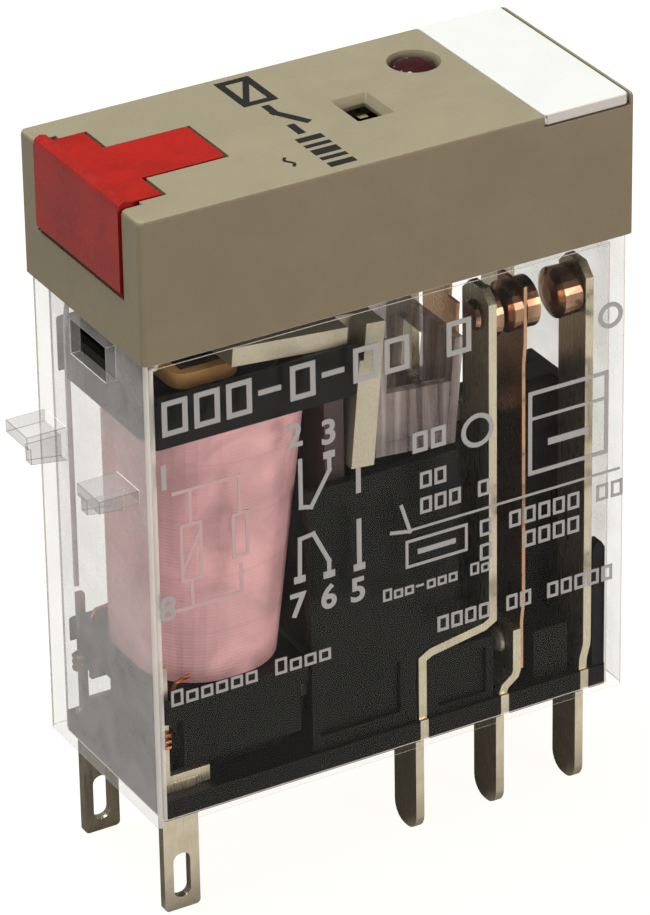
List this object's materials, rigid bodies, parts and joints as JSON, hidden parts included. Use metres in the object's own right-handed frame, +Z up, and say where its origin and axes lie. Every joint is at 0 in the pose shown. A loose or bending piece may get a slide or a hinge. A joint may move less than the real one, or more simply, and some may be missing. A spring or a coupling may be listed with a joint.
{
  "type": "plug-in control relay",
  "caption": "Slim plug-in control relay: clear case on a blade base, cap with test lever, lamp and nameplate, coil and hinged armature that switch leaf contacts.",
  "frame": {"origin": "centre of the base's underside, the face that seats on the socket", "axes": "+Z up, away from the socket; +X from the coil end to the contact end; -Y is the side of the near contact set"},
  "size_m": [0.0309, 0.0128, 0.0417],
  "materials": {
    "black_plastic": "moulded, slightly satin",
    "clear_plastic": "clear polycarbonate, gloss",
    "beige_plastic": "moulded, satin",
    "white_plastic": "smooth, printed blank",
    "red_plastic": "gloss",
    "lamp_red": "dark red, polished",
    "board_green": "solder mask",
    "resistor_tan": "lacquered",
    "diode_black": "moulded epoxy",
    "flag_brown": "moulded, dark",
    "milky_plastic": "translucent moulding",
    "plated_steel": "yellowish zinc plating",
    "dark_steel": "dull, rolled",
    "copper": "bright copper strip",
    "pink_tape": "polyester tape",
    "enamel_copper": "enamelled wire",
    "tinned_brass": "tinned strip, satin",
    "contact_alloy": "silver alloy on copper rivet"
  },
  "bodies": {
    "housing": {"base": "black_plastic", "bobbin": "black_plastic", "cap": "beige_plastic", "case": "clear_plastic", "coil_lead_far": "enamel_copper", "coil_lead_near": "enamel_copper", "coil_tape": "pink_tape", "coil_terminal_far": "tinned_brass", "coil_terminal_near": "tinned_brass", "coil_winding": "enamel_copper", "com_terminal_far": "tinned_brass", "com_terminal_near": "tinned_brass", "core": "dark_steel", "hinge_spring": "copper", "lamp_board": "board_green", "lamp_diode": "diode_black", "lamp_lead_far": "tinned_brass", "lamp_lead_near": "tinned_brass", "lamp_lens": "lamp_red", "lamp_resistor": "resistor_tan", "nameplate": "white_plastic", "nc_contact_far": "contact_alloy", "nc_contact_near": "contact_alloy", "nc_terminal_far": "tinned_brass", "nc_terminal_near": "tinned_brass", "no_contact_far": "contact_alloy", "no_contact_near": "contact_alloy", "no_terminal_far": "tinned_brass", "no_terminal_near": "tinned_brass", "shading_ring": "copper", "spring_rivet_far": "plated_steel", "spring_rivet_near": "plated_steel", "yoke": "dark_steel"},
    "armature": {"armature": "plated_steel", "actuator_card": "milky_plastic", "indicator_flag": "flag_brown"},
    "moving_spring_near": {"moving_spring_near": "copper", "moving_contact_near": "contact_alloy"},
    "moving_spring_far": {"moving_spring_far": "copper", "moving_contact_far": "contact_alloy"},
    "test_lever": {"test_lever": "red_plastic"}
  },
  "joints": [
    {"name": "armature_hinge", "type": "hinge", "parent": "housing", "child": "armature", "pos_m": [-0.0019, 0, 0.0245], "axis": [0, -1, 0], "range_deg": [0, 5.3], "stiffness_Nm_per_rad": 0.02, "springref_deg": -5.73},
    {"name": "moving_spring_near_flex", "type": "hinge", "parent": "housing", "child": "moving_spring_near", "pos_m": [0.00845, 0, 0.003], "axis": [0, 1, 0], "range_deg": [0, 2.2]},
    {"name": "moving_spring_far_flex", "type": "hinge", "parent": "housing", "child": "moving_spring_far", "pos_m": [0.00845, 0, 0.003], "axis": [0, 1, 0], "range_deg": [0, 2.2]},
    {"name": "test_lever_hinge", "type": "hinge", "parent": "housing", "child": "test_lever", "pos_m": [-0.0129, 0, 0.0343], "axis": [0, 1, 0], "range_deg": [0, 12], "stiffness_Nm_per_rad": 0.004, "springref_deg": -2.86}
  ],
  "couplings": [
    {"joint": "moving_spring_near_flex", "follows": "armature_hinge", "ratio": 0.415},
    {"joint": "moving_spring_far_flex", "follows": "armature_hinge", "ratio": 0.415}
  ]
}
